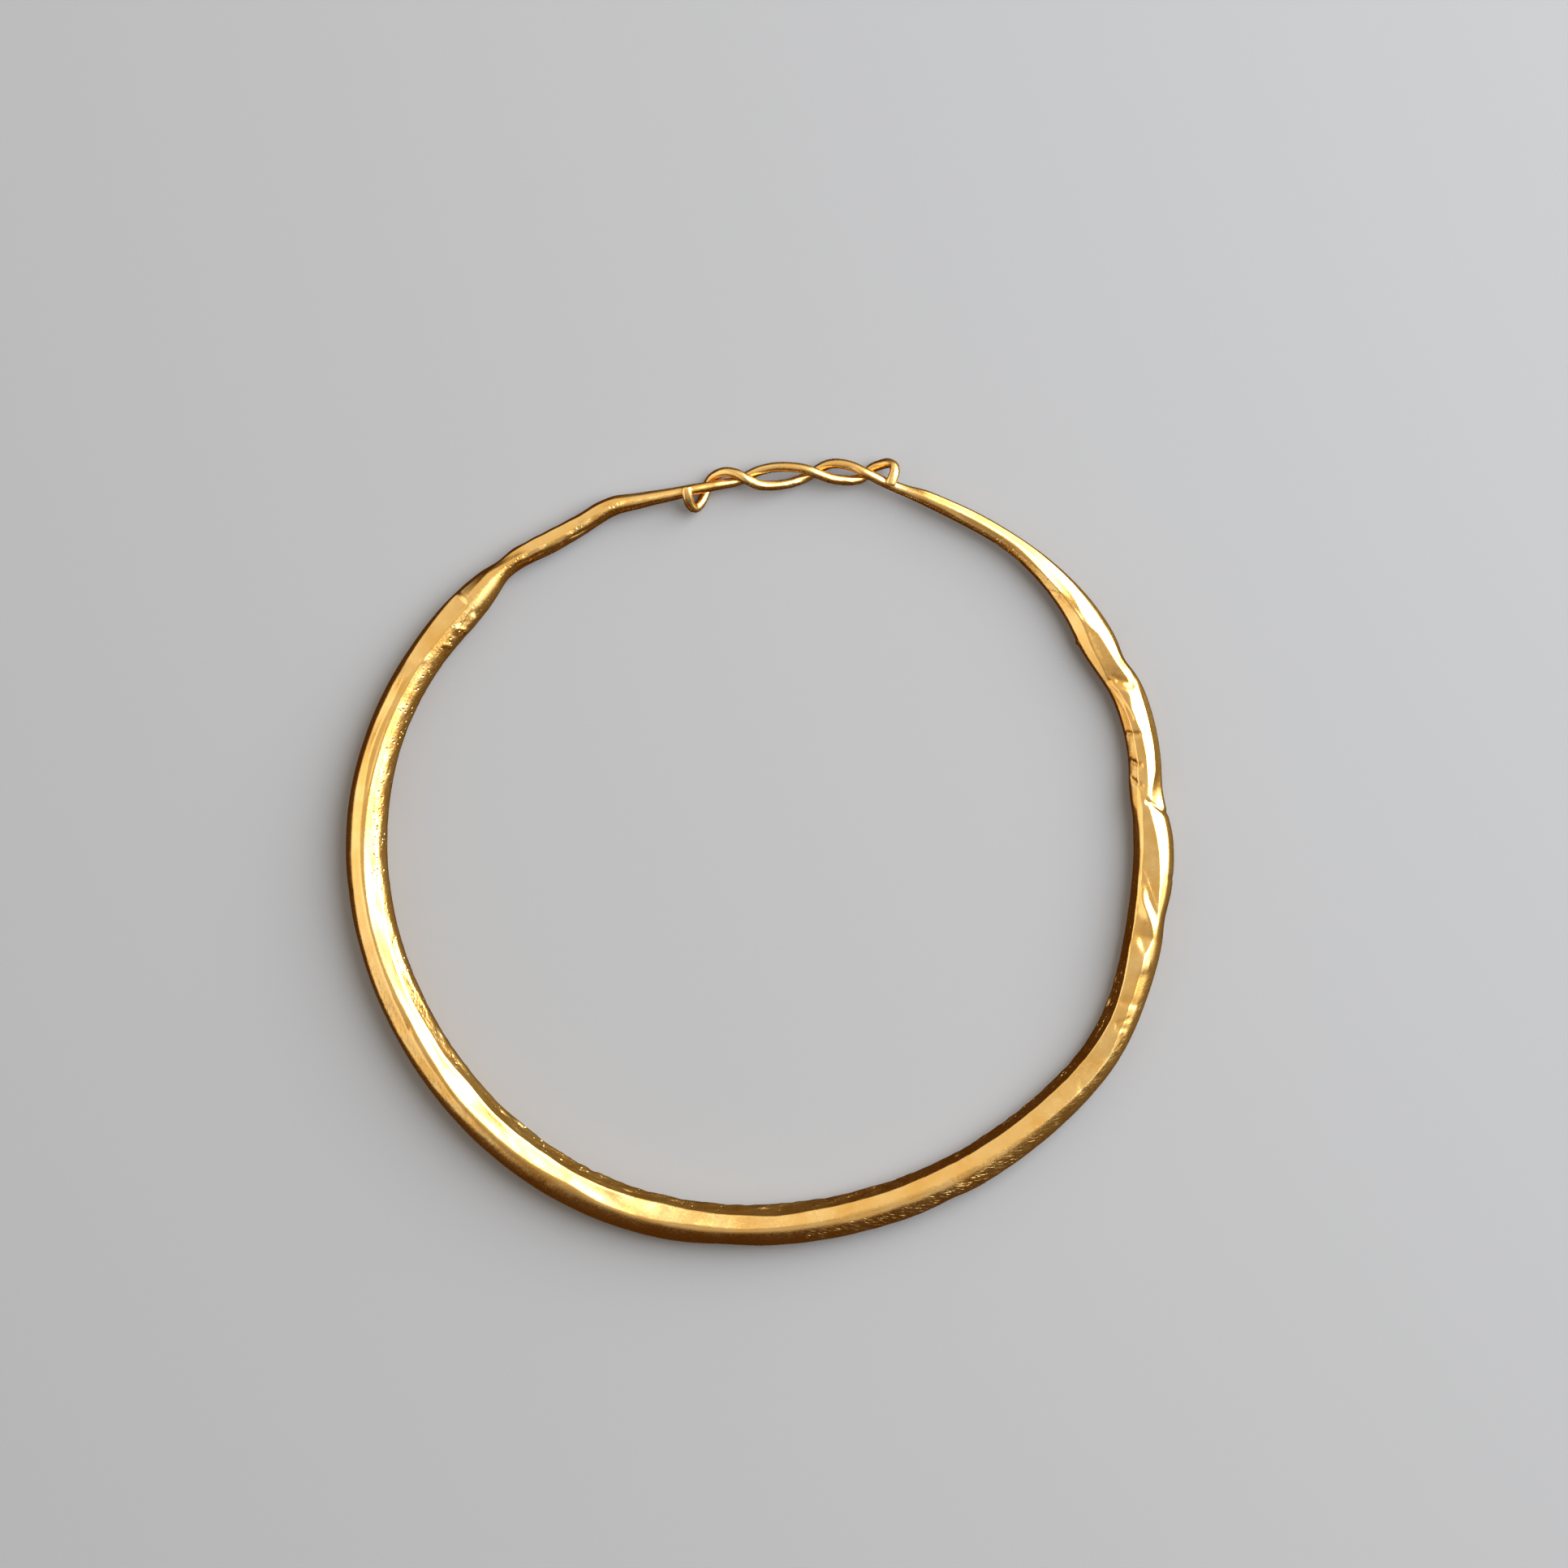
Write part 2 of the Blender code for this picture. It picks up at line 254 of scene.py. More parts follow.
# %% The tube's size and the path
TUBE_PROFILE = (                # percent of the way round, width, height (0 wire, 1 tube)
    (-3.0, 0.00, 0.00),
    (-1.0, 0.05, 0.05),
    (-0.1, 0.15, 0.15),
    (0.8, 0.19, 0.19),
    (2.0, 0.23, 0.22),
    (4.6, 0.27, 0.27),
    (6.0, 0.37, 0.33),
    (7.4, 0.50, 0.38),
    (9.0, 0.67, 0.43),
    (10.3, 0.79, 0.47),
    (11.5, 0.76, 0.50),
    (13.0, 0.69, 0.53),
    (16.8, 0.68, 0.58),
    (18.7, 0.76, 0.64),
    (20.2, 0.89, 0.72),
    (22.5, 0.92, 0.80),
    (25.3, 0.85, 0.83),
    (28.2, 0.77, 0.82),
    (31.5, 0.82, 0.84),
    (36.0, 0.88, 0.89),
    (42.0, 0.92, 0.93),
    (50.0, 0.92, 0.95),
    (55.0, 0.98, 0.98),
    (61.0, 1.00, 1.00),
    (67.0, 0.99, 1.00),
    (72.0, 0.96, 0.98),
    (78.5, 0.92, 0.94),
    (83.0, 0.81, 0.86),
    (86.5, 0.78, 0.78),
    (89.0, 0.81, 0.71),
    (90.2, 0.74, 0.65),
    (91.0, 0.59, 0.58),
    (91.9, 0.39, 0.48),
    (93.0, 0.35, 0.40),
    (94.6, 0.38, 0.37),
    (96.5, 0.32, 0.33),
    (98.0, 0.28, 0.28),
    (99.1, 0.20, 0.20),
    (100.2, 0.13, 0.13),
    (101.3, 0.08, 0.08),
    (103.0, 0.00, 0.00),
)
REST_SHARE = 0.90               # height of the tube's middle, as a share of its half height
REST_BLEND = 0.2 * MM           # rounding where the tube lifts off towards the wires
SIDE_BIAS = 0.40                # outward lean of a wire's side direction, in wire diameters
PATH_POINTS = 12000


def tube_size(percent):
    """Half width and half height: the wire's, plus the table's share of the rest."""
    rows = np.array(TUBE_PROFILE)
    share = np.stack([smooth_through(percent, rows[:, 0], column) for column in rows[:, 1:].T])
    return (WIRE_DIAMETER + (TUBE_DIAMETER - WIRE_DIAMETER) * np.maximum(share, 0.0)) / 2


def middle_height(percent):
    """Height of the middle line: the larger of the tube's resting height and the height
    that keeps the hooked wires off the table, with the change between them rounded."""
    lowest = min(row[2] for row in RIGHT_WIRE + LEFT_WIRE)
    wire_height = WIRE_DIAMETER / 2 - lowest * WIRE_PITCH
    lift = REST_SHARE * tube_size(percent)[1] - wire_height
    return wire_height + (lift + np.sqrt(lift**2 + REST_BLEND**2)) / 2


def bracelet_path():
    """The whole path, tip to tip: a point is the middle line's radius plus its outward
    offset, at its angle, and the middle height plus its upward offset. The side direction
    turns with a wire round its partner, and is outwards on the hoop."""
    right = wire_route(RIGHT_WIRE, PATH_POINTS // 6)
    left = wire_route(LEFT_WIRE, PATH_POINTS // 6)
    hoop_start = right[0][-1]
    hoop_end = left[0][0] - 360.0
    hoop_angle = np.linspace(hoop_start, hoop_end, PATH_POINTS * 2 // 3)[1:-1]
    level = np.zeros_like(hoop_angle)
    angle = np.concatenate([right[0], hoop_angle, left[0] - 360.0])
    out = np.concatenate([right[1], level, left[1]])
    up = np.concatenate([right[2], level, left[2]])
    percent = 100.0 * (hoop_start - angle) / (hoop_start - hoop_end)

    turn = np.radians(angle)
    outwards = np.stack([np.cos(turn), np.sin(turn), np.zeros_like(turn)], axis=1)
    place = outwards * (hoop_distance(angle) + out)[:, None]
    place[:, 2] = middle_height(percent) + up
    lean = SIDE_BIAS * WIRE_DIAMETER
    side = outwards * (out + lean)[:, None] + np.array([0.0, 0.0, 1.0]) * up[:, None]
    return place, side, percent


# %% [markdown]
# ## Sections along the path
#
# A skin is a grid: sections along the path, and points round each section. Even spacing
# would waste points on the plain stretches, so the spacing is a table too, fine where the
# gold is folded and crushed and wider where it is smooth.

# %% Sections, closest together where the gold is creased
SIDES = 96                      # points round a section
SECTIONS = 1000
SPACING = (                     # percent of the way round, relative distance of sections
    (-4.0, 0.24),
    (6.0, 0.22),
    (9.0, 0.17),
    (29.0, 0.18),
    (33.0, 0.32),
    (82.0, 0.32),
    (86.0, 0.18),
    (92.0, 0.18),
    (99.0, 0.24),
)
TIP_SPACING = 0.03              # the same at the very tips, so that they can be rounded
TIP_FADE = 0.3 * MM


def spaced_sections():
    """Place, side, top, percent and distance along the path of each section. Sections are
    even steps of the running sum of (path step / local spacing), side is the path's side
    made square to its tangent, and top is tangent times side."""
    place, side, percent = bracelet_path()
    steps = np.linalg.norm(np.diff(place, axis=0), axis=1)
    length = np.concatenate([[0.0], np.cumsum(steps)])
    rows = np.array(SPACING)
    to_tip = np.minimum(length, length[-1] - length)
    share = np.clip(to_tip / TIP_FADE, 0.0, 1.0)
    spacing = TIP_SPACING + share * (np.interp(percent, rows[:, 0], rows[:, 1]) - TIP_SPACING)
    count = np.concatenate([[0.0], np.cumsum(steps / spacing[:-1])])
    at = np.interp(np.linspace(0.0, count[-1], SECTIONS), count, length)

    def pick(values):
        return np.stack([np.interp(at, length, column) for column in values.T], axis=1)

    tangent = pick(np.gradient(place, length, axis=0))
    tangent /= np.linalg.norm(tangent, axis=1)[:, None]
    side = pick(side)
    side -= tangent * np.sum(side * tangent, axis=1)[:, None]
    side /= np.linalg.norm(side, axis=1)[:, None]
    top = np.cross(tangent, side)
    return pick(place), side, top, np.interp(at, length, percent), at, length[-1]


place, side, top, percent, at, path_length = spaced_sections()
half_wide, half_high = (size[:, None] for size in tube_size(percent))
print("path, mm:", round(path_length / MM, 1), "sections:", len(at))
print("closest sections, mm:", round(np.diff(at).min() / MM, 3),
      "widest apart, mm:", round(np.diff(at).max() / MM, 3))

# %% [markdown]
# ## The plain section
#
# Each section starts as an ellipse. A point on it has a direction: 0 degrees faces
# outwards from the hoop, 90 up and 180 inwards. Near the tips the wire is beaten to a
# tongue, wide and thin, and the very end closes like the end of a rounded rod.

# %% Ellipses, tongues and rounded tips
TONGUE_LENGTH = 3.0 * MM
TONGUE_WIDTH = 0.95 * MM
TONGUE_THICKNESS = 0.5 * MM
TIP_RADIUS = 0.12 * MM
TIP_ROUND = 0.98                # how far the rounding goes, which leaves a small end face


def ellipse_sections():
    """Across and up of every point: half width times cosine and half height times sine of
    the turn. Towards a tip both sizes ease to the tongue's, and over the last stretch they
    shrink as a quarter circle does."""
    to_tip = np.minimum(at, path_length - at)[:, None]
    share = np.clip(1.0 - to_tip / TONGUE_LENGTH, 0.0, 1.0)
    ease = share**2 * (3.0 - 2.0 * share)
    wide = half_wide + ease * (TONGUE_THICKNESS / 2 - half_wide)
    high = half_high + ease * (TONGUE_WIDTH / 2 - half_high)
    rest = 1.0 - np.clip(to_tip / TIP_RADIUS, 0.0, 1.0)
    narrow = (TIP_RADIUS / (TONGUE_THICKNESS / 2)) * (1.0 - np.sqrt(1.0 - (TIP_ROUND * rest) ** 2))
    turn = np.linspace(0.0, 2 * math.pi, SIDES, endpoint=False)[None, :]
    return wide * (1.0 - narrow) * np.cos(turn), high * (1.0 - narrow) * np.sin(turn)


across, up = ellipse_sections()
print("widest, mm:", round(2 * across.max() / MM, 2), "highest, mm:", round(2 * up.max() / MM, 2))

# %% [markdown]
# ## Flats
#
# Thin sheet takes dents as flat facets with sharp edges, which is what catches the light
# on this bracelet. A facet is described as a goldsmith would point it out: by the two
# edge lines that bound it on the skin. Each edge is a row of places, percent round the
# hoop and share of the half width, 1 at the outer rim, 0 on top and -1 at the inner rim.
# The flat between them is a chord of the section, and what stands above it is pushed in.
# One flat, on the right, ends in a slope along a slanting line and not at an edge, so its
# cut fades out towards that line.

# %% Facets between two edge lines
def edge(*rows):
    """An edge line from (percent, share of the half width) pairs."""
    return np.array(rows)


TOP_INNER_EDGE = edge(
    (17.5, -0.61), (19.5, -0.68), (23.0, -0.69), (25.0, -0.64), (27.0, -0.54),
    (28.2, -0.49), (30.2, -0.53), (31.0, -0.57), (33.0, -0.59), (34.4, -0.61),
    (37.0, -0.63), (40.0, -0.64),
    (43.5, -0.59), (46.2, -0.56), (48.3, -0.45), (50.0, -0.55), (51.5, -0.57),
    (54.0, -0.66), (56.2, -0.56), (58.5, -0.53), (60.0, -0.58), (63.3, -0.53),
    (65.2, -0.61), (67.0, -0.47), (68.0, -0.50), (70.5, -0.42), (72.0, -0.45),
    (74.5, -0.57), (76.0, -0.60), (78.0, -0.50), (80.0, -0.42), (84.0, -0.38),
    (88.0, -0.36), (89.5, -0.30), (90.5, -0.20),
)
TOP_OUTER_EDGE = edge(
    (22.8, -0.60), (23.5, -0.12), (24.1, 0.24), (24.7, 0.44), (25.2, 0.28),
    (25.8, 0.16), (27.8, 0.18), (29.4, 0.26), (30.4, 0.41), (32.0, 0.36), (34.0, 0.22),
    (36.0, 0.06), (38.0, -0.04), (40.0, -0.11), (42.0, -0.18), (44.0, -0.16), (46.0, -0.04),
    (48.0, 0.05), (50.0, 0.09), (51.3, 0.05), (52.3, 0.00), (53.2, 0.08), (55.0, 0.19),
    (56.7, 0.17), (58.5, -0.02), (60.3, 0.10), (62.0, 0.15), (65.0, 0.17), (67.5, 0.04),
    (69.5, 0.00), (72.0, 0.13), (74.0, 0.15), (76.0, 0.10), (78.0, 0.05), (80.0, -0.02),
    (84.0, -0.07), (88.0, -0.10), (90.5, -0.14),
)
BROWN_OUTER_EDGE = edge(
    (18.3, 0.02), (18.6, -0.02), (19.2, 0.06), (20.0, 0.14), (21.0, 0.25), (22.0, 0.33),
    (22.8, 0.37), (23.3, 0.44), (24.1, 0.50), (24.4, 0.50),
)
ARRIS = 0.03                    # rounded strip left between two facets, as a share
INNER_END = 76.0                # where the sharp inner edge dies out

FACETS = {                      # outer edge line, inner edge line
    "top of the hoop": (TOP_OUTER_EDGE, TOP_INNER_EDGE),
    "inner side": (
        TOP_INNER_EDGE[TOP_INNER_EDGE[:, 0] <= INNER_END] - (0.0, ARRIS),
        edge((17.5, -0.80), (20.0, -0.97), (24.0, -1.0), (64.0, -1.0), (70.0, -0.9), (76.0, -0.67)),
    ),
    "outer strip": (
        edge((25.1, 0.32), (25.8, 0.50), (27.8, 0.53), (29.4, 0.50), (30.4, 0.44)),
        edge((25.1, 0.30), (25.8, 0.16), (27.8, 0.18), (29.4, 0.26), (30.4, 0.41)),
    ),
    "outer side of the left": (
        edge((64.0, 0.55), (66.0, 0.70), (70.0, 0.80), (73.0, 0.78), (75.0, 0.70), (78.5, 0.63),
             (79.3, 0.68), (82.5, 0.72), (84.0, 0.68), (86.0, 0.72)),
        edge((64.0, 0.45), (66.0, 0.31), (70.0, 0.28), (76.0, 0.30), (80.0, 0.30), (82.0, 0.43),
             (84.0, 0.29), (86.0, 0.36)),
    ),
    "first lens": (
        edge((79.0, 0.20), (80.3, 0.28), (81.5, 0.35), (83.0, 0.32), (83.9, 0.20)),
        edge((79.0, 0.16), (80.3, 0.02), (81.5, -0.06), (83.0, 0.00), (83.9, 0.16)),
    ),
    "second lens": (
        edge((83.6, 0.12), (85.0, 0.29), (86.4, 0.30)),
        edge((83.6, 0.08), (85.0, -0.03), (86.4, 0.26)),
    ),
    "pale flat": (
        edge((84.8, 0.37), (86.0, 0.72), (88.0, 0.79), (89.75, 0.91)),
        edge((84.8, 0.30), (86.0, 0.04), (87.5, -0.05), (89.0, -0.07), (89.75, 0.00)),
    ),
    "torn end": (
        edge((89.85, 0.84), (90.6, 0.82), (91.3, 0.82), (92.0, 0.80)),
        edge((89.85, 0.28), (90.2, 0.36), (91.0, 0.45), (91.6, 0.62), (92.0, 0.76)),
    ),
    "drawn end": (
        edge((91.6, 0.60), (92.4, 0.74), (94.0, 0.80), (96.0, 0.76), (98.0, 0.70), (98.8, 0.50)),
        edge((91.6, 0.52), (92.4, 0.10), (94.0, 0.00), (95.2, -0.12), (96.4, 0.06), (98.0, 0.10),
             (98.8, 0.40)),
    ),
    "scoop": (
        edge((9.6, -0.10), (10.2, 0.24), (11.0, 0.30), (12.0, 0.30), (12.5, 0.36), (13.0, 0.40)),
        edge((9.6, -0.16), (10.5, -0.43), (11.5, -0.55), (12.2, -0.69), (12.6, -0.40),
             (13.0, 0.36)),
    ),
    "white flat": (
        edge((12.9, 0.62), (14.0, 0.62), (15.0, 0.60), (16.0, 0.60), (17.0, 0.56), (17.9, 0.24)),
        edge((12.9, 0.46), (13.5, 0.03), (14.0, -0.17), (14.6, -0.12), (15.0, 0.00),
             (16.0, 0.07), (17.0, 0.13), (17.9, 0.22)),
    ),
    "inner strip": (
        edge((13.4, -0.30), (14.0, -0.22), (15.0, -0.06), (16.0, 0.02), (17.5, 0.08), (18.2, -0.10)),
        edge((13.4, -0.34), (14.0, -0.50), (15.0, -0.50), (16.0, -0.48), (17.5, -0.45),
             (18.2, -0.14)),
    ),
    "outer band": (
        edge((12.6, 0.82), (14.0, 0.95), (17.0, 0.95), (18.6, 0.90), (19.2, 0.78)),
        edge((12.6, 0.76), (14.0, 0.62), (15.0, 0.60), (16.0, 0.60), (17.0, 0.56), (17.9, 0.27),
             (18.6, 0.20), (19.2, 0.68)),
    ),
    "brown flat": (
        BROWN_OUTER_EDGE,
        edge((18.3, -0.06), (18.6, -0.30), (19.2, -0.47), (20.0, -0.54), (21.0, -0.58),
             (22.0, -0.64), (24.4, -0.66)),
    ),
    "outer ridge": (
        edge((18.7, 0.35), (19.1, 0.66), (20.0, 0.68), (22.0, 0.71), (23.0, 0.64), (23.6, 0.50)),
        edge((18.7, 0.10), (19.2, 0.11), (20.0, 0.18), (21.0, 0.29), (22.0, 0.36), (23.0, 0.42),
             (23.6, 0.47)),
    ),
    "outer side of the taper": (
        edge((-1.2, 0.50), (0.2, 0.84), (3.0, 0.86), (6.0, 0.86), (8.0, 0.76), (9.0, 0.70),
             (11.0, 0.74), (12.6, 0.78)),
        edge((-1.2, 0.46), (0.2, 0.34), (2.0, 0.32), (4.0, 0.30), (6.0, 0.14), (8.0, 0.00),
             (9.0, -0.08), (9.6, 0.00), (10.2, 0.27), (12.0, 0.33), (12.6, 0.50)),
    ),
    "top of the taper": (
        edge((4.6, 0.26), (6.0, 0.52), (7.0, 0.56), (8.4, 0.46), (9.6, 0.08)),
        edge((4.6, 0.10), (6.0, -0.22), (7.0, -0.33), (8.4, -0.36), (9.6, -0.12)),
    ),
    "inner side of the taper": (
        edge((0.5, -0.10), (2.0, 0.00), (4.0, -0.04), (5.0, -0.20), (6.0, -0.30)),
        edge((0.5, -0.14), (2.0, -0.62), (4.0, -0.60), (5.0, -0.50), (6.0, -0.34)),
    ),
    "inner rim of the taper": (
        edge((5.0, -0.60), (7.0, -0.30), (9.0, -0.24), (10.5, -0.44), (11.5, -0.55),
             (12.6, -0.68), (14.0, -0.52), (17.0, -0.48), (18.6, -0.62)),
        edge((5.0, -0.64), (7.0, -0.84), (9.0, -0.86), (13.0, -0.90), (17.0, -0.95),
             (18.6, -0.84)),
    ),
}
DISH = 0.008                    # how far a facet is hollowed, as a share of its width
SLOPE_LINE = edge((22.3, -0.80), (23.0, -0.58), (23.6, -0.12), (24.2, 0.24), (24.7, 0.46))
SLOPE_REACH = 1.05 * MM         # from that line, over which the brown flat comes up to the skin


def cut_facet(across, up, outer, inner, weight=1.0):
    """Flattens the skin between two edge lines. With a and b the half sizes and t the arc
    cosine of an edge's share, the edge is at (a cos t, b sin t). Points beyond the chord
    from edge to edge are scaled towards the middle until they lie on it, less a shallow
    hollow of the dish's depth times 4 u (1 - u), with u the share of the way across. A
    weight below 1 moves them only that share of the way."""
    ends = []
    for line in (outer, inner):
        t = np.arccos(np.clip(np.interp(percent, line[:, 0], line[:, 1]), -1.0, 1.0))[:, None]
        ends.append((half_wide * np.cos(t), half_high * np.sin(t)))
    (x1, y1), (x2, y2) = ends
    chord = np.hypot(x2 - x1, y2 - y1)
    nx, ny = (y2 - y1) / chord, (x1 - x2) / chord
    u = np.clip(((across - x1) * (x2 - x1) + (up - y1) * (y2 - y1)) / chord**2, 0.0, 1.0)
    limit = nx * x1 + ny * y1 - DISH * chord * 4.0 * u * (1.0 - u)
    height = nx * across + ny * up
    inside = (percent >= outer[0, 0]) & (percent <= outer[-1, 0])
    cut = inside[:, None] & (height > limit)
    pull = 1.0 + weight * (np.where(cut, limit / np.where(cut, height, 1.0), 1.0) - 1.0)
    return across * pull, up * pull


def slope_weight():
    """0 on the slope line and on its inner side, and 1 away from it on its outer side: the
    distance outwards from the line over the reach, eased."""
    line = np.interp(percent, SLOPE_LINE[:, 0], SLOPE_LINE[:, 1], left=-2.0)[:, None]
    ease = np.clip((across / half_wide - line) * half_wide / SLOPE_REACH, 0.0, 1.0)
    return ease**2 * (3.0 - 2.0 * ease)


for name, (outer, inner) in FACETS.items():
    before = np.hypot(across, up)
    weight = slope_weight() if name == "brown flat" else 1.0
    across, up = cut_facet(across, up, outer, inner, weight)
    print(name, "pushed in by up to", round((before - np.hypot(across, up)).max() / MM, 2), "mm")

# %% [markdown]
# ## Dents, folds and creases
#
# Where the sheet buckled it left folds: lines with one steep and one gentle side. Each is
# a straight line on the skin between two places, with a height (below zero for a valley)
# and a reach to each side of it. Blunt dents are rounder, so those are bell curves. Both
# only move points in or out along the section, so they can't tear the skin or turn it
# inside out.

# %% Distances on the skin
direction = np.degrees(np.arctan2(up, across)) % 360.0
mean_half = (half_wide + half_high) / 2
on_hoop = (percent > -1.0) & (percent < 101.0)


def place_of(where):
    """Distance along the path of a place given in percent round the hoop."""
    return np.interp(where, percent[on_hoop], at[on_hoop])


def degrees_from(toward):
    """Signed degrees round the section from a direction, up to 180 either way."""
    return (direction - toward + 180.0) % 360.0 - 180.0


DENTS = (                       # percent, direction, depth, half length, spread in degrees
    (11.9, 4.0, 0.30 * MM, 1.3 * MM, 42.0),
    (23.7, 2.0, 0.26 * MM, 1.8 * MM, 38.0),
    (18.6, 182.0, 0.14 * MM, 1.6 * MM, 36.0),
    (50.8, -12.0, 0.20 * MM, 2.0 * MM, 44.0),
    (40.0, -8.0, 0.14 * MM, 1.6 * MM, 40.0),
    (12.55, 131.0, -0.08 * MM, 0.38 * MM, 13.0),
    (15.85, 150.0, -0.06 * MM, 0.75 * MM, 24.0),
    (17.0, 152.0, -0.06 * MM, 0.55 * MM, 24.0),
    (18.2, 150.0, -0.05 * MM, 0.75 * MM, 24.0),
    (19.05, 12.0, 0.12 * MM, 0.22 * MM, 26.0),
    (21.85, 16.0, 0.10 * MM, 0.22 * MM, 20.0),
    (43.3, 38.0, 0.09 * MM, 1.1 * MM, 22.0),
    (42.4, 46.0, 0.09 * MM, 0.6 * MM, 16.0),
    (40.5, 34.0, 0.08 * MM, 0.8 * MM, 18.0),
    (45.0, 40.0, 0.05 * MM, 0.9 * MM, 18.0),
    (28.8, 128.0, 0.05 * MM, 0.45 * MM, 9.0),
    (30.95, 138.0, 0.08 * MM, 0.32 * MM, 14.0),
    (30.95, 172.0, 0.08 * MM, 0.25 * MM, 20.0),
    (32.4, 129.0, 0.04 * MM, 0.50 * MM, 9.0),
    (65.9, 182.0, -0.07 * MM, 0.22 * MM, 14.0),
    (68.9, 38.0, -0.05 * MM, 0.5 * MM, 12.0),
    (75.5, 22.0, 0.07 * MM, 0.35 * MM, 18.0),
    (86.55, 97.0, -0.05 * MM, 0.40 * MM, 10.0),
    (89.0, 162.0, -0.07 * MM, 0.70 * MM, 22.0),
    (92.2, 8.0, 0.20 * MM, 1.00 * MM, 45.0),
    (10.15, 180.0, -0.20 * MM, 0.14 * MM, 12.0),
)
FOLDS = (                       # percent and share at each end, height, reach left and right
    (12.35, -0.76, 13.05, 0.50, -0.08 * MM, 1.70 * MM, 0.80 * MM),
    (12.42, -0.66, 13.05, 0.42, -0.14 * MM, 0.85 * MM, 0.65 * MM),
    (12.75, -0.74, 14.4, -0.36, -0.06 * MM, 0.22 * MM, 0.30 * MM),
    (7.35, -0.90, 7.75, -0.50, -0.045 * MM, 0.12 * MM, 0.14 * MM),
    (7.9, -0.60, 9.3, -0.05, -0.04 * MM, 0.60 * MM, 0.40 * MM),
    (3.9, -0.88, 5.4, -0.92, -0.06 * MM, 0.12 * MM, 0.16 * MM),
    (15.02, -0.98, 15.22, -0.16, -0.11 * MM, 0.22 * MM, 0.32 * MM),
    (16.40, -0.95, 16.68, -0.36, -0.11 * MM, 0.26 * MM, 0.36 * MM),
    (17.30, -0.90, 17.62, -0.30, -0.11 * MM, 0.26 * MM, 0.36 * MM),
    (18.35, -0.02, 18.95, 0.88, -0.13 * MM, 0.30 * MM, 0.36 * MM),
    (21.65, -0.62, 23.3, 0.34, 0.04 * MM, 0.22 * MM, 0.40 * MM),
    (22.80, -0.57, 24.50, 0.46, 0.03 * MM, 0.70 * MM, 1.10 * MM),
    (25.10, -0.42, 25.95, 0.34, 0.11 * MM, 0.72 * MM, 2.10 * MM),
    (21.75, -0.72, 23.4, -0.60, -0.05 * MM, 0.15 * MM, 0.15 * MM),
    (27.80, 0.62, 27.86, -0.25, -0.05 * MM, 0.35 * MM, 1.00 * MM),
    (28.45, 0.40, 28.85, -0.10, -0.04 * MM, 0.30 * MM, 0.35 * MM),
    (28.95, 0.45, 29.10, 0.02, -0.05 * MM, 0.22 * MM, 0.80 * MM),
    (29.2, 0.45, 29.7, 0.62, -0.05 * MM, 0.20 * MM, 0.20 * MM),
    (32.0, 0.05, 32.25, 0.40, -0.05 * MM, 0.14 * MM, 0.20 * MM),
    (70.2, 0.80, 70.5, 0.30, 0.04 * MM, 0.18 * MM, 0.30 * MM),
    (68.6, 0.30, 69.1, 0.12, -0.04 * MM, 0.20 * MM, 0.20 * MM),
    (80.4, -0.55, 81.0, -0.85, 0.05 * MM, 0.15 * MM, 0.15 * MM),
    (80.0, -0.02, 86.4, -0.08, 0.04 * MM, 0.25 * MM, 0.30 * MM),
    (87.66, -0.56, 87.76, -0.88, 0.05 * MM, 0.22 * MM, 0.60 * MM),
    (87.75, -0.80, 88.10, -0.76, 0.10 * MM, 0.55 * MM, 0.30 * MM),
    (88.62, -0.48, 88.80, -0.88, 0.07 * MM, 0.26 * MM, 1.20 * MM),
    (88.75, -0.84, 89.50, -0.80, 0.15 * MM, 0.80 * MM, 0.35 * MM),
    (88.70, -0.62, 89.50, -0.46, -0.05 * MM, 0.14 * MM, 0.18 * MM),
    (89.82, 0.98, 89.95, 0.25, -0.05 * MM, 0.22 * MM, 0.34 * MM),
    (93.9, -0.80, 95.1, -0.85, -0.08 * MM, 0.16 * MM, 0.20 * MM),
    (95.7, -0.60, 97.0, -0.78, -0.08 * MM, 0.16 * MM, 0.20 * MM),
)
FOLD_FADE = 0.35 * MM           # over which a narrow fold runs out at each end


def fold_lift(p1, share1, p2, share2, height, left, right):
    """Lift of one fold. With s along the path and g round the skin, a point's distance d
    from the line, and its place w along it, come from the cross and dot products. The lift
    is the height times e(1 - |d| / reach), where e eases from 0 to 1, and it eases out
    past both ends, over a third of the whole reach where the fold is wide."""
    s1, s2 = place_of(p1), place_of(p2)
    toward1, toward2 = (math.degrees(math.acos(share)) for share in (share1, share2))
    radius = np.interp((s1 + s2) / 2, at, mean_half[:, 0])
    run, rise = s2 - s1, math.radians(toward2 - toward1) * radius
    length = math.hypot(run, rise)
    s = at[:, None] - s1
    g = np.radians(degrees_from(toward1)) * radius
    d = (s * rise - g * run) / length
    w = (s * run + g * rise) / length
    ease = np.clip(1.0 - np.abs(d) / np.where(d > 0, left, right), 0.0, 1.0)
    fade = max(FOLD_FADE, (left + right) / 3)
    ends = np.clip(1.0 + np.minimum(w, length - w) / fade, 0.0, 1.0)
    return height * ease**2 * (3 - 2 * ease) * ends**2 * (3 - 2 * ends)


lift = np.zeros_like(across)
for where, toward, depth, half_length, spread in DENTS:
    along = (at[:, None] - place_of(where)) / half_length
    lift -= depth * np.exp(-(along**2) - (degrees_from(toward) / spread) ** 2)
for row in FOLDS:
    lift += fold_lift(*row)
print("deepest, mm:", round(lift.min() / MM, 2), "highest, mm:", round(lift.max() / MM, 2))

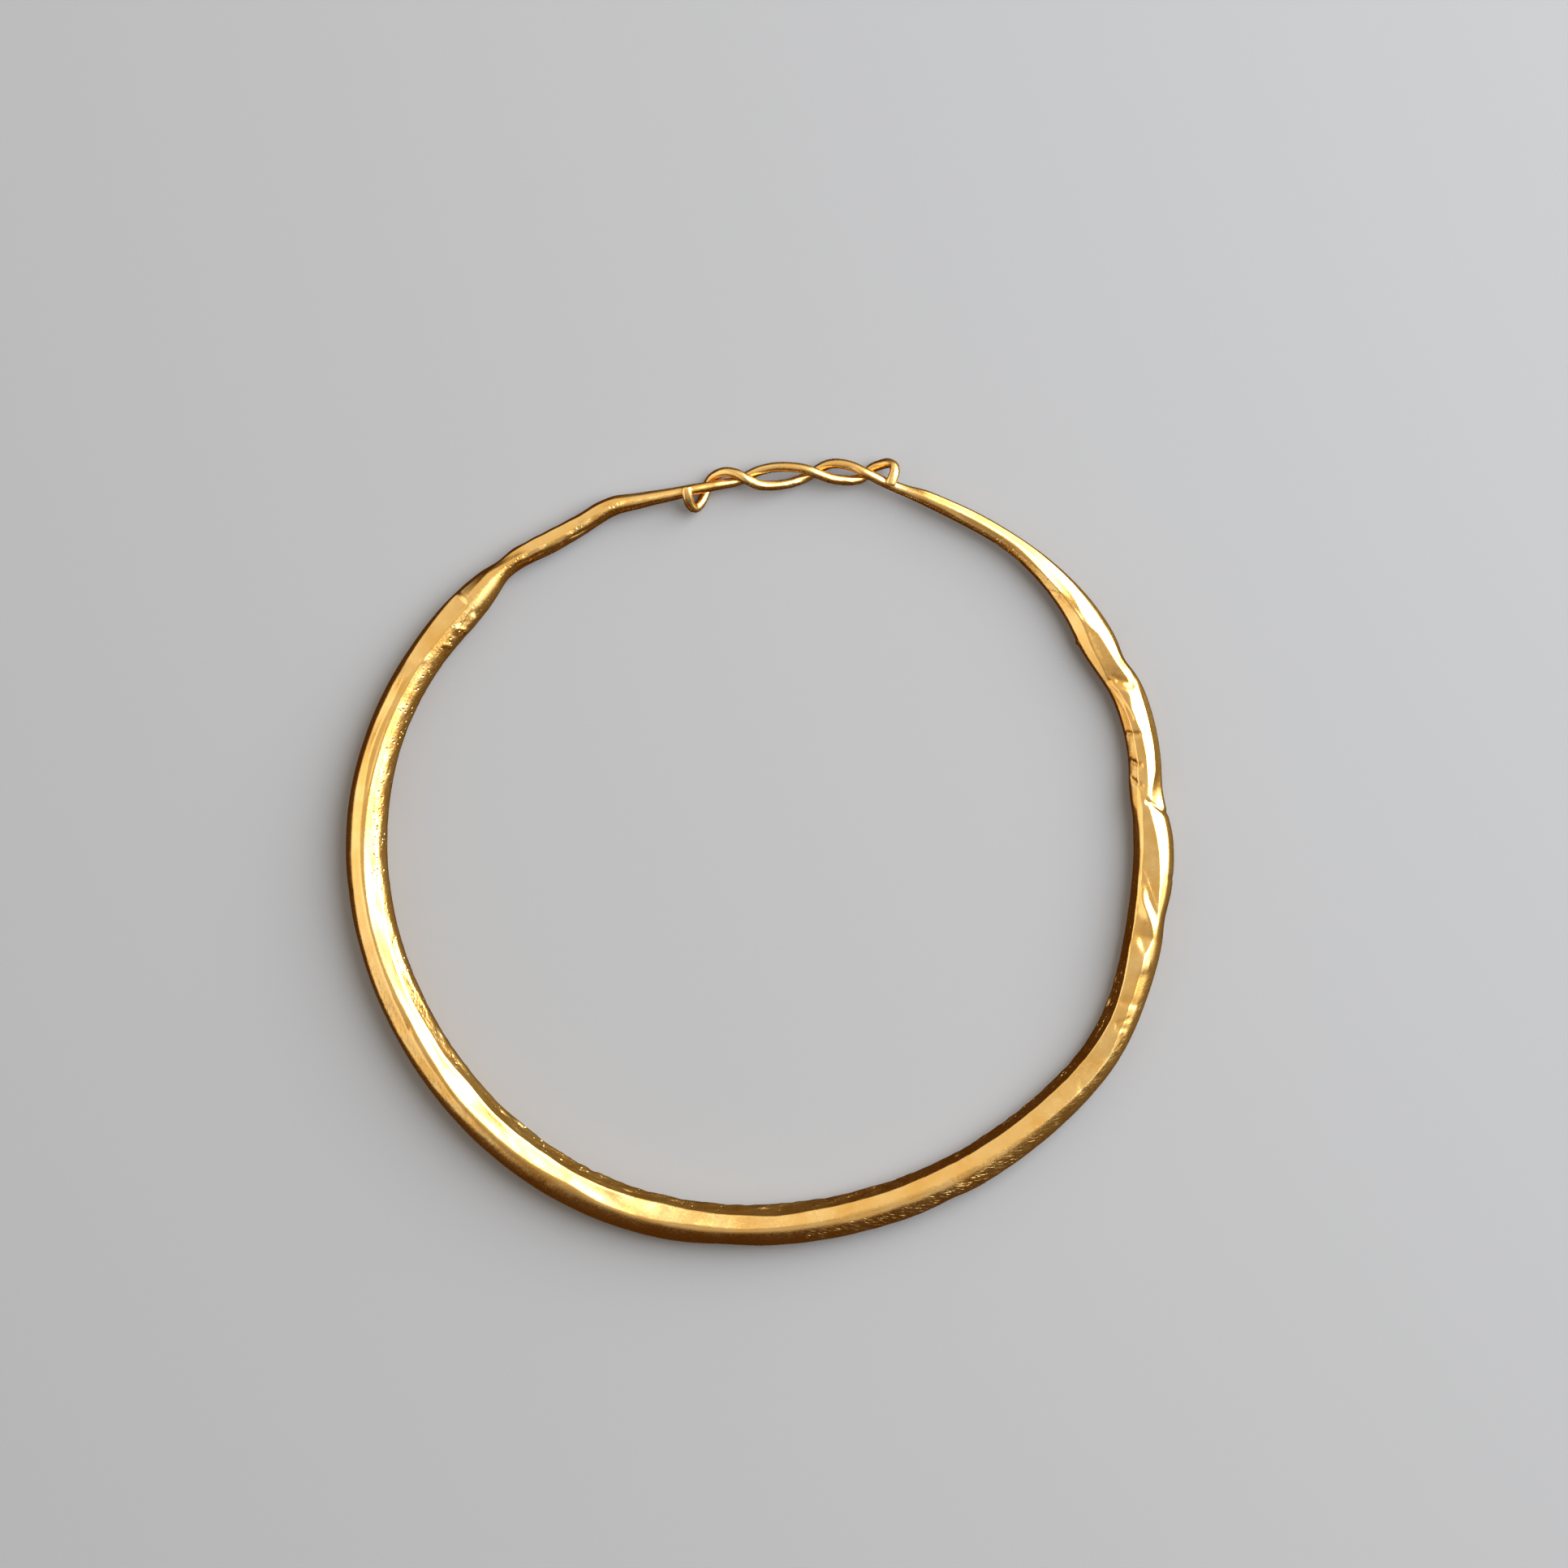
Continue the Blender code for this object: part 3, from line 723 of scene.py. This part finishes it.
# %% [markdown]
# ## Hammer marks and wear
#
# A goldsmith's hammer leaves shallow, overlapping hollows, and long wear and many knocks
# add small pits, most on the inner side that rubbed on something hard. Both are
# noise on a lattice that closes round the section: a random height at each crossing, and
# a smooth blend between the four nearest. The generator has a fixed seed.

# %% Lattice noise round the skin
def skin_noise(seed, cell, across_count, octaves=1):
    """Noise from -1 to 1 on the skin. A lattice has one row for each cell length of path
    and a fixed number of places round the section. Between crossings the value is a blend
    with weights that ease from 0 to 1. Each octave halves the cell and the height."""
    total = np.zeros_like(across)
    for octave in range(octaves):
        random = np.random.default_rng(seed + octave)
        rows = int(path_length / cell) + 3
        heights = random.uniform(-1.0, 1.0, (rows, across_count))
        u = at[:, None] / cell + np.zeros_like(across)
        v = direction / 360.0 * across_count
        i, j = np.floor(u).astype(int), np.floor(v).astype(int)
        fu, fv = u - i, v - j
        fu, fv = fu**2 * (3 - 2 * fu), fv**2 * (3 - 2 * fv)
        j, k = j % across_count, (j + 1) % across_count
        low = heights[i, j] * (1 - fv) + heights[i, k] * fv
        high = heights[i + 1, j] * (1 - fv) + heights[i + 1, k] * fv
        total += (low * (1 - fu) + high * fu) / 2**octave
        cell, across_count = cell / 2, across_count * 2
    return total / (2 - 2.0 ** (1 - octaves))


def zone(start, end, fade, toward, spread):
    """1 inside a stretch of the hoop on one side of the tube, and 0 away from it: a ramp
    at each end, times e to the minus fourth power of (degrees from its middle / spread)."""
    ramp = np.clip(np.minimum(percent - start, end - percent) / fade, 0.0, 1.0)[:, None]
    return ramp * np.exp(-((degrees_from(toward) / spread) ** 4))


INNER_SCUFFS = (                # share, start, end and ramp in percent, direction, spread
    (1.0, 64.0, 76.0, 3.0, 168.0, 36.0),
    (1.0, 73.0, 91.0, 3.0, 150.0, 42.0),
    (0.3, 0.5, 9.0, 2.0, 140.0, 40.0),
    (0.4, 91.0, 99.5, 2.0, 130.0, 60.0),
)
RIM_SCUFFS = ((1.0, 22.0, 66.0, 4.0, 168.0, 34.0),)
OUTER_SCUFFS = (
    (0.5, 24.0, 76.0, 6.0, 25.0, 42.0),
    (0.5, 34.0, 49.0, 4.0, 32.0, 42.0),
)
BEATEN_END = ((1.1, 91.5, 99.5, 1.5, 80.0, 130.0),)
HAMMER_MARKS = (                # height, then seed, distance between marks, marks round the skin
    (0.014 * MM, 11, 2.6 * MM, 14),
    (0.009 * MM, 23, 1.1 * MM, 20),
)
KNOCKS = ((0.045 * MM, 51, 0.8 * MM, 30),)
BEATEN_WIRE = ((0.040 * MM, 71, 0.9 * MM, 7),)
PITS = (37, 0.55 * MM, 34, 2)
PIT_DEPTH = 0.055 * MM
PIT_RIM = 0.25                  # height of the rim round a pit, as a share of its depth
OUTER_KNOCKS = 0.6              # strength of the knocks on the outer side
RIM_KNOCKS = 1.6                # and on the inner rim
DRAWN_FADE = 2.2                # the wire counts as drawn up to 1 / 2.2 of the hoop's thickness


def scuffed(rows):
    """Sum of a table's zones, each times its share."""
    return sum(share * zone(*where) for share, *where in rows)


def marked(rows):
    """Sum of a table's noises, each times its height."""
    return sum(height * skin_noise(*noise) for height, *noise in rows)


inner_scuffs = scuffed(INNER_SCUFFS)
rim_scuffs = scuffed(RIM_SCUFFS)
outer_scuffs = scuffed(OUTER_SCUFFS)
thickness = np.clip(mean_half / (TUBE_DIAMETER / 2), 0.0, 1.0)
drawn = np.clip(1.0 - DRAWN_FADE * thickness, 0.0, 1.0)
knocked = OUTER_KNOCKS * np.clip(outer_scuffs, 0.0, 1.0) + RIM_KNOCKS * rim_scuffs
pitted = np.clip(skin_noise(*PITS), -1.0, PIT_RIM) * PIT_DEPTH
lift += thickness * (marked(HAMMER_MARKS) + marked(KNOCKS) * knocked)
lift += thickness * pitted * np.clip(inner_scuffs + rim_scuffs, 0.0, 1.0)
lift += (drawn + scuffed(BEATEN_END)) * marked(BEATEN_WIRE)
print("marks from", round(lift.min() / MM, 2), "to", round(lift.max() / MM, 2), "mm")

# %% [markdown]
# ## The skin as a mesh
#
# The grid of points becomes one closed mesh: a four-sided face between each two sections
# and sides, and one face to close each tip. Where the hoop lies on the table the metal is
# worn flat, so nothing goes below zero height. A map in millimetres, along and round the
# skin, goes with the mesh, because scratches follow the metal and not the room.

# %% Build the bracelet
LEAST_SHARE = 0.2               # of its distance from the middle, kept by the deepest point
HOLLOW_SHADE_DEPTH = 0.15 * MM        # depth of push-in at which the painted shade is at its full strength


def tube_faces(rings, sides):
    """Corner numbers of the faces: each is here, next side, next section's next side and
    next section's here. The ends have one face each."""
    ring = np.arange(rings - 1)[:, None] * sides
    here = np.arange(sides)[None, :]
    after = (here + 1) % sides
    quads = np.stack([ring + here, ring + after, ring + sides + after, ring + sides + here], -1)
    last = (rings - 1) * sides
    return quads.reshape(-1, 4).tolist() + [
        list(range(sides))[::-1], list(range(last, last + sides))]


def skin_points():
    """Points in space: the section's place plus across times side plus up times top. The
    outline is then centred where the measured model's is."""
    radius = np.hypot(across, up)
    scale = np.maximum(1.0 + lift / radius, LEAST_SHARE)
    points = (
        place[:, None, :]
        + (across * scale)[:, :, None] * side[:, None, :]
        + (up * scale)[:, :, None] * top[:, None, :]
    )
    points[:, :, 2] = np.maximum(points[:, :, 2], 0.0)
    middle = (points.min(axis=(0, 1)) + points.max(axis=(0, 1))) / 2
    cad_middle = (np.array(cad_low) + np.array(cad_high)) / 2
    points[:, :, :2] += (cad_middle - middle)[:2]
    return points


points = skin_points()
mesh = bpy.data.meshes.new("bracelet")
mesh.from_pydata(points.reshape(-1, 3).tolist(), [], tube_faces(SECTIONS, SIDES))
mesh.shade_smooth()
bracelet = bpy.data.objects.new("bracelet", mesh)
bpy.context.scene.collection.objects.link(bracelet)

corner = np.empty(len(mesh.loops), np.int32)
mesh.loops.foreach_get("vertex_index", corner)
girth = mean_half * 2 * math.pi / SIDES
round_skin = np.arange(SIDES)[None, :] * girth
along_skin = at[:, None] + np.zeros_like(round_skin)
skin_map = np.stack([along_skin.ravel()[corner], round_skin.ravel()[corner]], axis=1) / MM
quad_count = (SECTIONS - 1) * SIDES
seam = corner[:quad_count * 4].reshape(-1, 4) % SIDES
closing = (seam.max(axis=1) == SIDES - 1) & (seam.min(axis=1) == 0)
wrap = (closing[:, None] & (seam == 0)).ravel()
skin_map[:quad_count * 4][wrap, 1] += np.repeat(
    girth[:, 0] * SIDES / MM, SIDES)[corner[:quad_count * 4]][wrap]
mesh.uv_layers.new(name="skin").data.foreach_set("uv", skin_map.astype(np.float32).ravel())

for name, values in (
    ("scuffs", np.clip(inner_scuffs + 0.8 * rim_scuffs, 0.0, 1.0)),
    ("scratches", np.clip(outer_scuffs, 0.0, 1.0)),
    # painted shade: 0 to 1 with how deep the skin is pushed in, which darkens the gold's colour
    ("hollow_shade", np.clip(-lift / HOLLOW_SHADE_DEPTH, 0.0, 1.0)),
    ("drawn", drawn + np.zeros_like(lift)),
):
    layer = mesh.attributes.new(name, "FLOAT", "POINT")
    layer.data.foreach_set("value", values.astype(np.float32).ravel())
size = points.max(axis=(0, 1)) - points.min(axis=(0, 1))
print("bracelet, mm:", np.round(size / MM, 2), "triangles:", 2 * quad_count + 2 * (SIDES - 2))


# %% [markdown]
# ## The gold
#
# Old high-carat gold is worn to a soft shine: bright where it was rubbed, and scratched
# across by handling. Where the skin is pushed in, shade is painted into the colour, a
# little duller and redder. A metal's colour is its reflection colour, so the base colour
# does most of the work and the roughness does the rest. The finer marks are bumps and
# changes of roughness, with their sizes given in millimetres.

# %% A helper that adds a node
def add_node(tree, kind, inputs=None, **settings):
    """Adds a node to a tree, sets its properties, and fills its inputs: a socket is linked
    and any other value is typed in."""
    node = tree.nodes.new(kind)
    for name, value in settings.items():
        setattr(node, name, value)
    for name, value in (inputs or {}).items():
        if isinstance(value, bpy.types.NodeSocket):
            tree.links.new(value, node.inputs[name])
        else:
            node.inputs[name].default_value = value
    return node


# %% Worn high-carat gold, hammered and burnished
def worn_gold():
    """High-carat gold, hammered, burnished and then worn. Warm orange-yellow with clear
    reflections, and painted a little duller and redder as shade where the skin is pushed
    in, with short scratches across the outer side and small pits on the inner side."""
    material = bpy.data.materials.new("worn_high_carat_gold")
    material.use_nodes = True
    tree = material.node_tree
    shader = tree.nodes["Principled BSDF"]
    shader.inputs["Metallic"].default_value = 1.0

    room = add_node(tree, "ShaderNodeTexCoord").outputs["Object"]
    skin = add_node(tree, "ShaderNodeUVMap", uv_map="skin").outputs["UV"]
    scuffs = add_node(tree, "ShaderNodeAttribute", attribute_name="scuffs").outputs["Fac"]
    scratches = add_node(tree, "ShaderNodeAttribute", attribute_name="scratches").outputs["Fac"]
    hollow_shade = add_node(tree, "ShaderNodeAttribute", attribute_name="hollow_shade").outputs["Fac"]
    drawn_wire = add_node(tree, "ShaderNodeAttribute", attribute_name="drawn").outputs["Fac"]

    # Clouds of tone about 3 mm across, from alloy that isn't quite even. The Mix node
    # numbers its two colour inputs 6 and 7, and its colour output 2
    clouds = add_node(tree, "ShaderNodeTexNoise", {
        "Vector": room, "Scale": 1 / (3.0 * MM), "Detail": 3.0}).outputs["Fac"]
    # Satin grain, drawn at 0.25 mm so that it shows
    grain = add_node(tree, "ShaderNodeTexNoise", {
        "Vector": room, "Scale": 1 / (0.25 * MM), "Detail": 4.0, "Roughness": 0.6}).outputs["Fac"]
    tone = add_node(tree, "ShaderNodeMapRange", {
        "Value": clouds, "From Min": 0.35, "From Max": 0.65}).outputs["Result"]
    gold = add_node(tree, "ShaderNodeMix", {
        "Factor": tone, 6: (*linear("F2BC66"), 1.0), 7: (*linear("FBD084"), 1.0)},
        data_type="RGBA").outputs[2]
    # Painted shade: where the skin is pushed in, the colour darkens towards E4AE5C
    gold = add_node(tree, "ShaderNodeMix", {
        "Factor": hollow_shade, 6: gold, 7: (*linear("E4AE5C"), 1.0)}, data_type="RGBA").outputs[2]
    tree.links.new(gold, shader.inputs["Base Color"])

    # Scratches about 0.1 mm wide and 0.9 mm long, slanting across the outer side
    slant = add_node(tree, "ShaderNodeMapping", {
        "Vector": skin, "Rotation": (0.0, 0.0, math.radians(-60.0)), "Scale": (0.09, 0.9, 1.0)},
        vector_type="TEXTURE")
    strokes = add_node(tree, "ShaderNodeTexNoise", {
        "Vector": slant.outputs["Vector"], "Scale": 1.0, "Detail": 1.0}).outputs["Fac"]
    strokes = add_node(tree, "ShaderNodeMapRange", {
        "Value": strokes, "From Min": 0.56, "From Max": 0.72}).outputs["Result"]
    strokes = add_node(tree, "ShaderNodeMath", {0: strokes, 1: scratches},
                       operation="MULTIPLY").outputs["Value"]
    # Burnishing lines along the tube, 0.12 mm apart
    lines = add_node(tree, "ShaderNodeMapping", {"Vector": skin, "Scale": (0.35, 8.0, 1.0)})
    burnish = add_node(tree, "ShaderNodeTexNoise", {
        "Vector": lines.outputs["Vector"], "Scale": 1.0, "Detail": 2.0}).outputs["Fac"]
    # Pits about 0.4 mm apart on the inner side, in patches about 1.5 mm wide
    pits = add_node(tree, "ShaderNodeTexVoronoi", {
        "Vector": room, "Scale": 1 / (0.45 * MM)}).outputs["Distance"]
    pits = add_node(tree, "ShaderNodeMapRange", {
        "Value": pits, "From Min": 0.30, "From Max": 0.05}).outputs["Result"]
    patches = add_node(tree, "ShaderNodeTexNoise", {
        "Vector": room, "Scale": 1 / (1.5 * MM), "Detail": 2.0}).outputs["Fac"]
    patches = add_node(tree, "ShaderNodeMapRange", {
        "Value": patches, "From Min": 0.38, "From Max": 0.56}).outputs["Result"]
    for share in (scuffs, patches):
        pits = add_node(tree, "ShaderNodeMath", {0: pits, 1: share},
                        operation="MULTIPLY").outputs["Value"]

    rough = add_node(tree, "ShaderNodeMapRange", {
        "Value": grain, "From Min": 0.3, "From Max": 0.7, "To Min": 0.18, "To Max": 0.28})
    worn = rough.outputs["Result"]
    for source, more in ((scratches, 0.08), (drawn_wire, 0.10)):
        worn = add_node(tree, "ShaderNodeMath", {0: source, 1: more, 2: worn},
                        operation="MULTIPLY_ADD").outputs["Value"]
    tree.links.new(worn, shader.inputs["Roughness"])

    # Heights in units of the bump's distance, 0.01 mm
    height = add_node(tree, "ShaderNodeMath", {0: grain, 1: 0.5}, operation="MULTIPLY")
    # The grain stands higher where the skin is scuffed or scratched
    rubbed, scraped = (
        add_node(tree, "ShaderNodeMath", {0: grain, 1: mask}, operation="MULTIPLY").outputs["Value"]
        for mask in (scuffs, scratches))
    for source, share in (
        (rubbed, 2.6), (scraped, 1.6), (burnish, 0.35), (strokes, -2.2), (pits, -7.0),
    ):
        height = add_node(tree, "ShaderNodeMath", {
            0: source, 1: share, 2: height.outputs["Value"]}, operation="MULTIPLY_ADD")
    bump = add_node(tree, "ShaderNodeBump", {
        "Height": height.outputs["Value"], "Strength": 1.0, "Distance": 0.01 * MM})
    tree.links.new(bump.outputs["Normal"], shader.inputs["Normal"])
    return material


gold = worn_gold()
mesh.materials.append(gold)
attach(bracelet, "root")
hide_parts("bracelet_hoop")
print("nodes in the gold:", len(gold.node_tree.nodes))

# %% [markdown]
# ## Floor and lights
#
# The floor is plain, pale and matt. A jeweller's photographer keeps bright paper out of
# the metal's reflections with black cards, because the dark rims are what makes gold
# read as round. The same is done here by hiding the floor from mirror rays.

# %% A matt floor
def matt_floor():
    """A square floor of pale card, large enough to run out of every view."""
    half = 3.0
    data = bpy.data.meshes.new("floor")
    data.from_pydata([(-half, -half, 0), (half, -half, 0), (half, half, 0), (-half, half, 0)],
                     [], [(0, 1, 2, 3)])
    material = bpy.data.materials.new("pale_card")
    material.use_nodes = True
    shader = material.node_tree.nodes["Principled BSDF"]
    shader.inputs["Base Color"].default_value = (*linear("959391"), 1.0)
    shader.inputs["Roughness"].default_value = 0.9
    shader.inputs["Specular IOR Level"].default_value = 0.1
    data.materials.append(material)
    floor = bpy.data.objects.new("floor", data)
    bpy.context.scene.collection.objects.link(floor)
    floor.visible_glossy = False
    return floor


matt_floor()


# %% [markdown]
# A tilted piece of polished metal mirrors what stands twice as far from straight up as the
# metal is tilted. So each panel stands where one band of the gold should find it. The
# main panel, at the upper right, makes the long bright band. A wide faint one round it
# softens the band's edges, and a low one, further round, carries the shine down the side. The
# right, front and left panels are dim, and only lift the sides that face them.

# %% Soft panels
def panel(name, azimuth, from_vertical, distance, high, wide, radiance, tint="FFFFFF"):
    """An oval light panel that faces the bracelet. Its place is distance times (sin v cos a,
    sin v sin a, cos v), and its power is radiance times pi times its area."""
    a, v = math.radians(azimuth), math.radians(from_vertical)
    area = math.pi / 4 * high * wide
    data = bpy.data.lights.new(name, "AREA")
    data.shape = "ELLIPSE"
    data.size = high
    data.size_y = wide
    data.energy = radiance * math.pi * area
    data.color = linear(tint)
    light = bpy.data.objects.new(name, data)
    bpy.context.scene.collection.objects.link(light)
    light.location = (
        distance * math.sin(v) * math.cos(a), distance * math.sin(v) * math.sin(a),
        distance * math.cos(v))
    light.rotation_euler = (0.0, v, a)
    print(name, "power, W:", round(data.energy, 3))
    return light


panel("main_panel", 27.0, 48.0, 0.60, 0.74, 0.60, 7.5, "E8F2FF")
panel("wide_panel", 12.0, 46.0, 0.90, 1.25, 1.25, 0.80)
panel("low_panel", 50.0, 76.0, 0.70, 0.30, 0.56, 2.50)
panel("right_panel", -8.0, 74.0, 0.70, 0.28, 0.50, 0.40)
panel("front_panel", 276.0, 30.0, 0.70, 0.28, 0.36, 0.32)
panel("left_panel", 189.0, 63.0, 0.60, 0.62, 0.92, 0.84)

# %% [markdown]
# Between the panels the gold mirrors the room. Its gradient is palest behind the twist,
# about half way up, and brown at the front and at the horizon, a lighter brown on the
# right. Flats that face up come out mid gold, and the rims stay dark.

# %% Dim room, palest above and behind
ROOM_AXIS = (-0.28, 0.77, 0.57)     # direction in which the room is palest
ROOM_RANGE = (-0.10, 1.05)          # cosine from that axis, where the room is dark and pale
HORIZON_RANGE = (0.0, 0.50)         # cosine from straight up, over which the room brightens
LIT_SIDE = (0.91, 0.42, 0.0)        # direction in which the dark part is less dark
LIT_RANGE = (0.0, 1.0)              # cosine from that side, over which it gets so
ROOM_DARK = "4A2F0E"
ROOM_LIT = "8E8365"
ROOM_PALE = "FAF4EA"


def dim_room():
    """The room's light as a gradient. Its dark colour brightens towards the lit side, and
    the share of the pale colour is the cosine between a direction and the axis, times an
    easing of the height above the horizon."""
    world = bpy.data.worlds.new("room")
    world.use_nodes = True
    tree = world.node_tree
    toward = add_node(tree, "ShaderNodeTexCoord").outputs["Generated"]
    share = 1.0
    for axis, (start, end), easing in (
        (ROOM_AXIS, ROOM_RANGE, "LINEAR"), ((0.0, 0.0, 1.0), HORIZON_RANGE, "SMOOTHSTEP"),
    ):
        cosine = add_node(tree, "ShaderNodeVectorMath", {0: toward, 1: axis},
                          operation="DOT_PRODUCT").outputs["Value"]
        ramp = add_node(tree, "ShaderNodeMapRange", {
            "Value": cosine, "From Min": start, "From Max": end},
            interpolation_type=easing).outputs["Result"]
        share = add_node(tree, "ShaderNodeMath", {0: share, 1: ramp},
                         operation="MULTIPLY").outputs["Value"]
    lit = add_node(tree, "ShaderNodeVectorMath", {0: toward, 1: LIT_SIDE},
                   operation="DOT_PRODUCT").outputs["Value"]
    lit = add_node(tree, "ShaderNodeMapRange", {
        "Value": lit, "From Min": LIT_RANGE[0], "From Max": LIT_RANGE[1]}).outputs["Result"]
    dark = add_node(tree, "ShaderNodeMix", {
        "Factor": lit, 6: (*linear(ROOM_DARK), 1.0), 7: (*linear(ROOM_LIT), 1.0)},
        data_type="RGBA").outputs[2]
    color = add_node(tree, "ShaderNodeMix", {
        "Factor": share, 6: dark, 7: (*linear(ROOM_PALE), 1.0)}, data_type="RGBA").outputs[2]
    tree.links.new(color, tree.nodes["Background"].inputs["Color"])
    return world


world = dim_room()
bpy.context.scene.world = world
bpy.context.scene.view_settings.view_transform = "Standard"
print("room from", ROOM_DARK, "to", ROOM_PALE)
